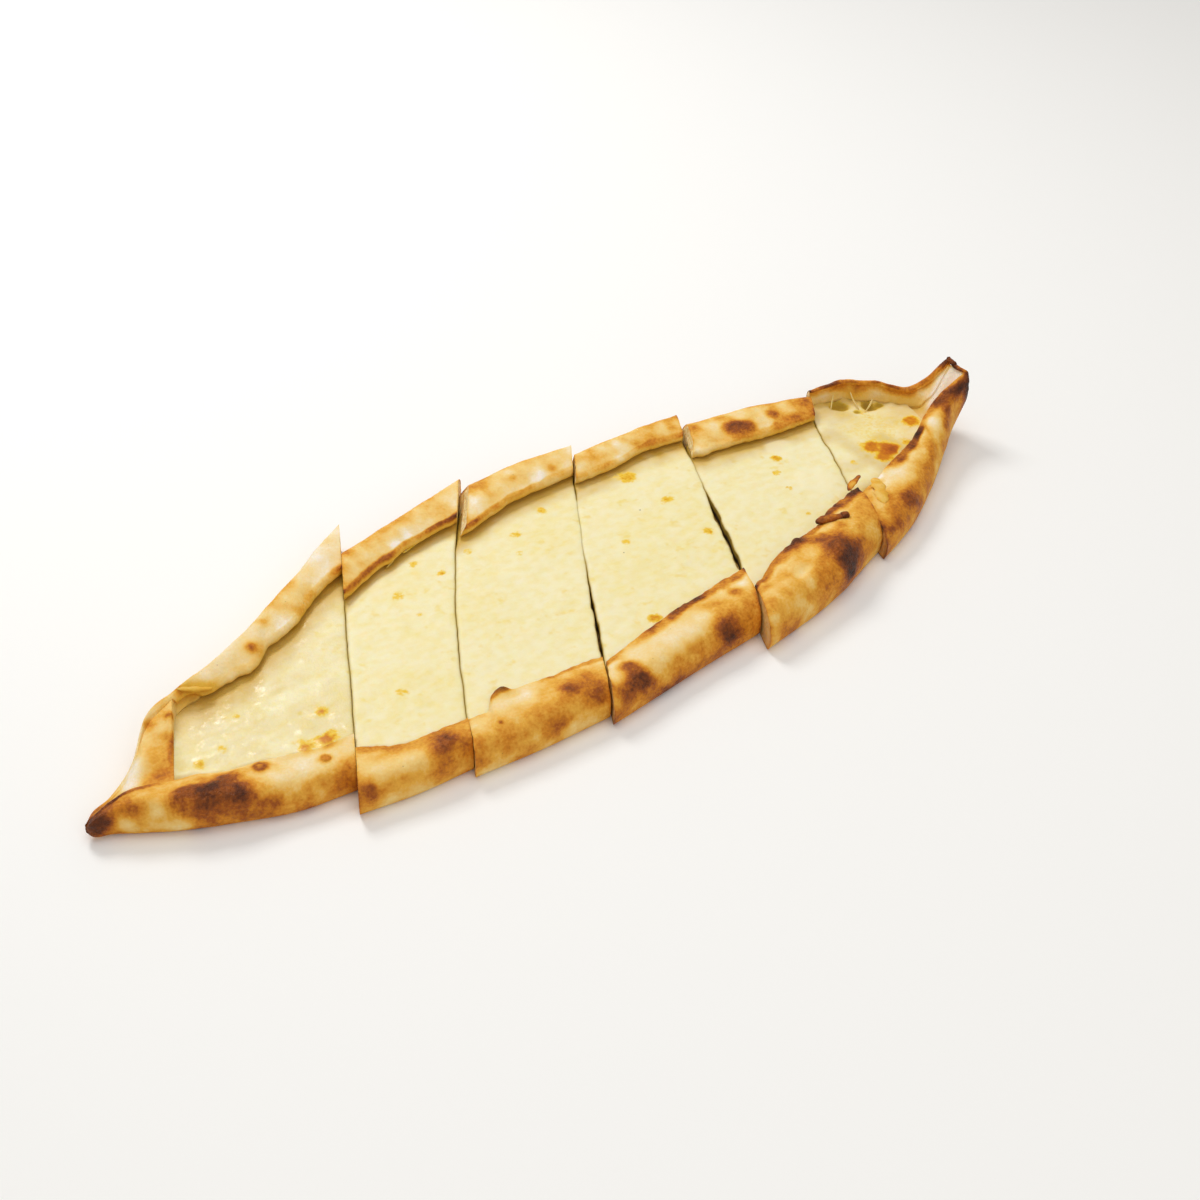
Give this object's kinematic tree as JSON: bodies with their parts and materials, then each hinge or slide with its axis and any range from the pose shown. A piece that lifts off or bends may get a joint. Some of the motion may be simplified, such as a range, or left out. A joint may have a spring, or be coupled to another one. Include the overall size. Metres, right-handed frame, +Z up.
{
  "type": "cheese pide",
  "caption": "Long boat-shaped flatbread with its sides folded in over melted cheese, a pinched flat tip and a raised prow, cut across into slices that still lie in place.",
  "frame": {"origin": "middle of the bounding box in plan, on the flat underside that the slices rest on", "axes": "+X along the boat from the flat pinched tip to the raised prow, +Y across it towards the far folded side, +Z up"},
  "size_m": [0.4772, 0.1724, 0.0385],
  "materials": {
    "crust": null,
    "cheese": null
  },
  "bodies": {
    "root": {"slice_1_crust": "crust", "slice_1_cheese": "cheese", "slice_2_crust": "crust", "slice_2_cheese": "cheese", "slice_3_crust": "crust", "slice_3_cheese": "cheese", "slice_4_crust": "crust", "slice_4_cheese": "cheese", "slice_5_crust": "crust", "slice_5_cheese": "cheese", "slice_6_crust": "crust", "slice_6_cheese": "cheese"}
  },
  "joints": []
}
